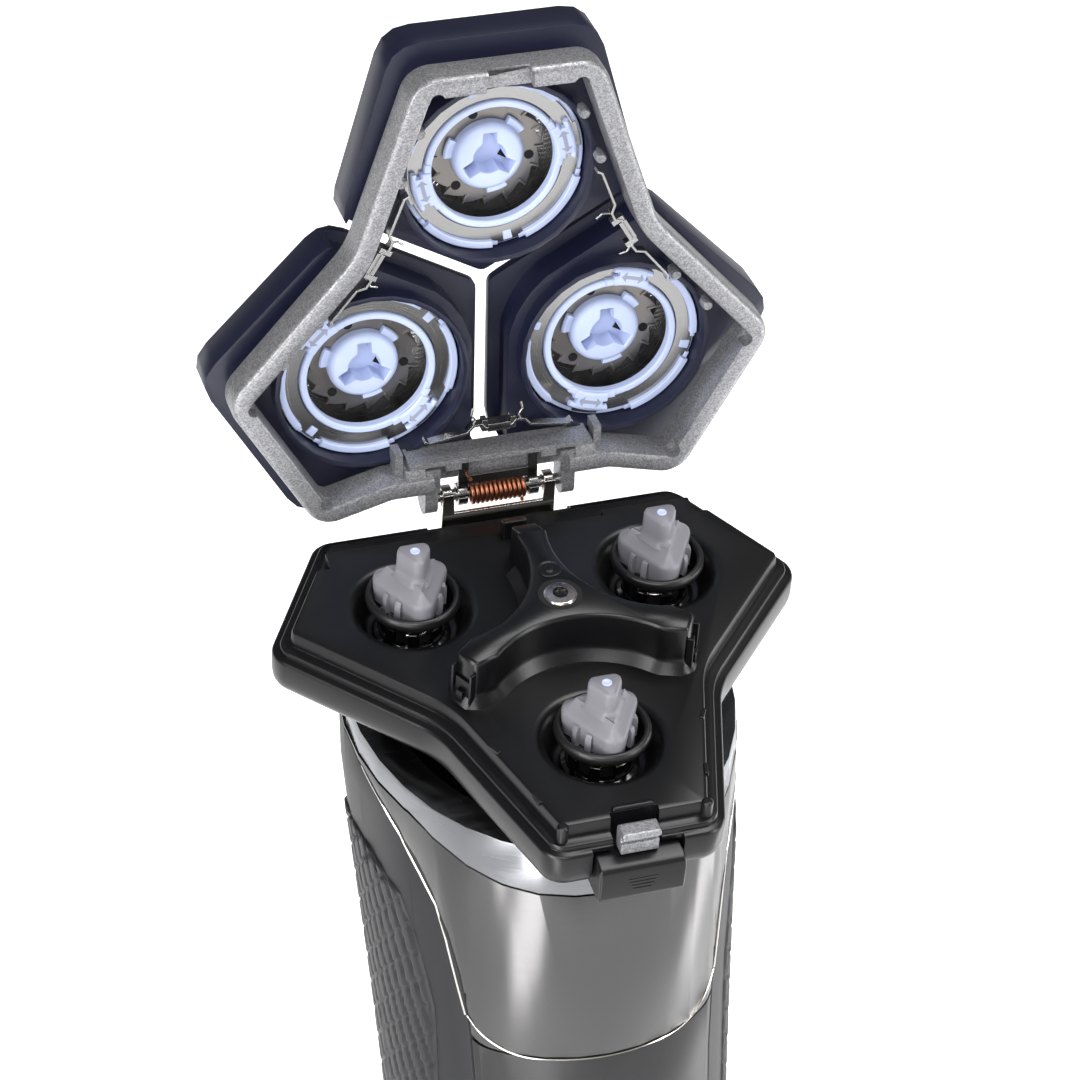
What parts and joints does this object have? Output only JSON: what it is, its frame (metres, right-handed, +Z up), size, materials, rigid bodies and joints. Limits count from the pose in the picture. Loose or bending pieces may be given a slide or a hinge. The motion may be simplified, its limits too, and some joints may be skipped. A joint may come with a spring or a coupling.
{
  "type": "electric shaver",
  "caption": "Cordless rotary shaver with its hair chamber open: shaped handle, tilted head tray with sprung drive spindles, hinged cover with floating shaving units.",
  "frame": {"origin": "centre of the flat base the handle stands on", "axes": "+Z up along the handle, front panel faces -Y, +X to the right of the front; head leans forward over -Y"},
  "size_m": [0.0738, 0.0717, 0.212],
  "materials": {
    "gunmetal_panel": "satin gunmetal metallic",
    "charcoal_panel": "charcoal satin plastic",
    "grip_rubber": "embossed soft rubber",
    "collar_chrome": "dark brushed chrome",
    "gloss_black": "glossy black plastic",
    "satin_black": "satin black plastic with fine grain",
    "cast_silver": "silver speckled paint on die casting",
    "navy_plastic": "dark navy fine-grained plastic",
    "ice_blue_plastic": "light blue satin plastic",
    "spring_steel": "bright stamped steel",
    "copper_wire": "copper-coloured spring wire",
    "grey_plastic": "mid grey moulded acetal",
    "black_rubber": "black seal rubber",
    "circuit_board": "green solder mask",
    "cell_wrap": "shrink-wrapped cell"
  },
  "bodies": {
    "handle": {"front_panel_upper": "gunmetal_panel", "front_panel_lower": "charcoal_panel", "grip_left": "grip_rubber", "grip_right": "grip_rubber", "rear_cover": "satin_black", "inner_housing": "satin_black", "collar_ring": "collar_chrome", "top_deck": "gloss_black", "display_window": "gloss_black", "bottom_cap": "satin_black", "charging_socket": "gloss_black", "battery_cell": "cell_wrap", "circuit_board": "circuit_board", "motor": "spring_steel"},
    "power_button": {"power_button": "collar_chrome"},
    "motor_drive": {"drive_shaft": "spring_steel"},
    "head_base": {"head_tray": "satin_black", "neck_coupler": "satin_black", "center_screw": "spring_steel", "hinge_pin": "spring_steel", "torsion_spring": "copper_wire", "hinge_bracket": "spring_steel"},
    "center_gear": {"center_gear": "grey_plastic"},
    "latch": {"release_button": "satin_black", "latch_hook": "cast_silver"},
    "cover": {"cover_frame": "cast_silver", "cover_hinge_bracket": "spring_steel", "leaf_spring_right": "spring_steel", "leaf_spring_left": "spring_steel", "leaf_spring_back": "spring_steel"},
    "spindle_front": {"spindle_gear_front": "gloss_black"},
    "cap_front": {"spindle_cap_front": "grey_plastic", "spindle_collar_front": "black_rubber", "spindle_spring_front": "spring_steel"},
    "pod_front": {"pod_front": "navy_plastic", "shaving_guard_front": "spring_steel", "ring_seat_front": "ice_blue_plastic"},
    "lock_front": {"retaining_ring_front": "ice_blue_plastic"},
    "cutter_front": {"cutter_front": "spring_steel", "cutter_hub_front": "ice_blue_plastic"},
    "spindle_right": {"spindle_gear_right": "gloss_black"},
    "cap_right": {"spindle_cap_right": "grey_plastic", "spindle_collar_right": "black_rubber", "spindle_spring_right": "spring_steel"},
    "pod_right": {"pod_right": "navy_plastic", "shaving_guard_right": "spring_steel", "ring_seat_right": "ice_blue_plastic"},
    "lock_right": {"retaining_ring_right": "ice_blue_plastic"},
    "cutter_right": {"cutter_right": "spring_steel", "cutter_hub_right": "ice_blue_plastic"},
    "spindle_left": {"spindle_gear_left": "gloss_black"},
    "cap_left": {"spindle_cap_left": "grey_plastic", "spindle_collar_left": "black_rubber", "spindle_spring_left": "spring_steel"},
    "pod_left": {"pod_left": "navy_plastic", "shaving_guard_left": "spring_steel", "ring_seat_left": "ice_blue_plastic"},
    "lock_left": {"retaining_ring_left": "ice_blue_plastic"},
    "cutter_left": {"cutter_left": "spring_steel", "cutter_hub_left": "ice_blue_plastic"}
  },
  "joints": [
    {"name": "power_button_press", "type": "slide", "parent": "handle", "child": "power_button", "axis": [0, 1, 0], "range_m": [0, 0.0005], "stiffness_N_per_m": 1500, "springref_m": -0.0006},
    {"name": "motor_spin", "type": "hinge", "parent": "handle", "child": "motor_drive", "pos_m": [0, 0.00433, 0.11847], "axis": [0, -0.2164, 0.9763], "continuous": true},
    {"name": "head_pull_off", "type": "slide", "parent": "handle", "child": "head_base", "axis": [0, -0.2164, 0.9763], "range_m": [0, 0.02]},
    {"name": "center_gear_spin", "type": "hinge", "parent": "head_base", "child": "center_gear", "pos_m": [0, 0.00087, 0.13409], "axis": [0, -0.2164, 0.9763], "continuous": true},
    {"name": "latch_press", "type": "slide", "parent": "head_base", "child": "latch", "axis": [0, 0.9763, 0.2164], "range_m": [0, 0.001], "stiffness_N_per_m": 400, "springref_m": -0.002},
    {"name": "cover_hinge", "type": "hinge", "parent": "head_base", "child": "cover", "pos_m": [0, 0.02555, 0.14795], "axis": [1, 0, 0], "range_deg": [0, 96.7], "stiffness_Nm_per_rad": 0.004, "springref_deg": -148.97},
    {"name": "spindle_front_spin", "type": "hinge", "parent": "head_base", "child": "spindle_front", "pos_m": [0, -0.0172, 0.13009], "axis": [0, -0.2164, 0.9763], "continuous": true},
    {"name": "cap_front_press", "type": "slide", "parent": "spindle_front", "child": "cap_front", "axis": [0, 0.2164, -0.9763], "range_m": [0, 0.0012], "stiffness_N_per_m": 250, "springref_m": -0.002, "deforming": ["spindle_spring_front"]},
    {"name": "pod_front_tilt", "type": "hinge", "parent": "cover", "child": "pod_front", "pos_m": [0, 0.02823, 0.19405], "axis": [1, 0, 0], "range_deg": [-4, 4], "stiffness_Nm_per_rad": 0.15},
    {"name": "lock_front_turn", "type": "hinge", "parent": "pod_front", "child": "lock_front", "pos_m": [0, 0.02474, 0.1937], "axis": [0, 0.9949, 0.1011], "range_deg": [-25, 0]},
    {"name": "cutter_front_spin", "type": "hinge", "parent": "pod_front", "child": "cutter_front", "pos_m": [0, 0.02972, 0.1942], "axis": [0, 0.9949, 0.1011], "continuous": true},
    {"name": "spindle_right_spin", "type": "hinge", "parent": "head_base", "child": "spindle_right", "pos_m": [0.01602, 0.0099, 0.1361], "axis": [0, -0.2164, 0.9763], "continuous": true},
    {"name": "cap_right_press", "type": "slide", "parent": "spindle_right", "child": "cap_right", "axis": [0, 0.2164, -0.9763], "range_m": [0, 0.0012], "stiffness_N_per_m": 250, "springref_m": -0.002, "deforming": ["spindle_spring_right"]},
    {"name": "pod_right_tilt", "type": "hinge", "parent": "cover", "child": "pod_right", "pos_m": [0.01602, 0.03103, 0.16645], "axis": [-0.5, 0.0875, -0.8616], "range_deg": [-4, 4], "stiffness_Nm_per_rad": 0.15},
    {"name": "lock_right_turn", "type": "hinge", "parent": "pod_right", "child": "lock_right", "pos_m": [0.01602, 0.02755, 0.16609], "axis": [0, 0.9949, 0.1011], "range_deg": [-25, 0]},
    {"name": "cutter_right_spin", "type": "hinge", "parent": "pod_right", "child": "cutter_right", "pos_m": [0.01602, 0.03252, 0.1666], "axis": [0, 0.9949, 0.1011], "continuous": true},
    {"name": "spindle_left_spin", "type": "hinge", "parent": "head_base", "child": "spindle_left", "pos_m": [-0.01602, 0.0099, 0.1361], "axis": [0, -0.2164, 0.9763], "continuous": true},
    {"name": "cap_left_press", "type": "slide", "parent": "spindle_left", "child": "cap_left", "axis": [0, 0.2164, -0.9763], "range_m": [0, 0.0012], "stiffness_N_per_m": 250, "springref_m": -0.002, "deforming": ["spindle_spring_left"]},
    {"name": "pod_left_tilt", "type": "hinge", "parent": "cover", "child": "pod_left", "pos_m": [-0.01602, 0.03103, 0.16645], "axis": [-0.5, -0.0875, 0.8616], "range_deg": [-4, 4], "stiffness_Nm_per_rad": 0.15},
    {"name": "lock_left_turn", "type": "hinge", "parent": "pod_left", "child": "lock_left", "pos_m": [-0.01602, 0.02755, 0.16609], "axis": [0, 0.9949, 0.1011], "range_deg": [-25, 0]},
    {"name": "cutter_left_spin", "type": "hinge", "parent": "pod_left", "child": "cutter_left", "pos_m": [-0.01602, 0.03252, 0.1666], "axis": [0, 0.9949, 0.1011], "continuous": true}
  ],
  "couplings": [
    {"joint": "motor_spin", "follows": "spindle_front_spin", "ratio": -1.4667},
    {"joint": "center_gear_spin", "follows": "spindle_front_spin", "ratio": -1.4667},
    {"joint": "spindle_right_spin", "follows": "spindle_front_spin", "ratio": 1},
    {"joint": "spindle_left_spin", "follows": "spindle_front_spin", "ratio": 1}
  ]
}
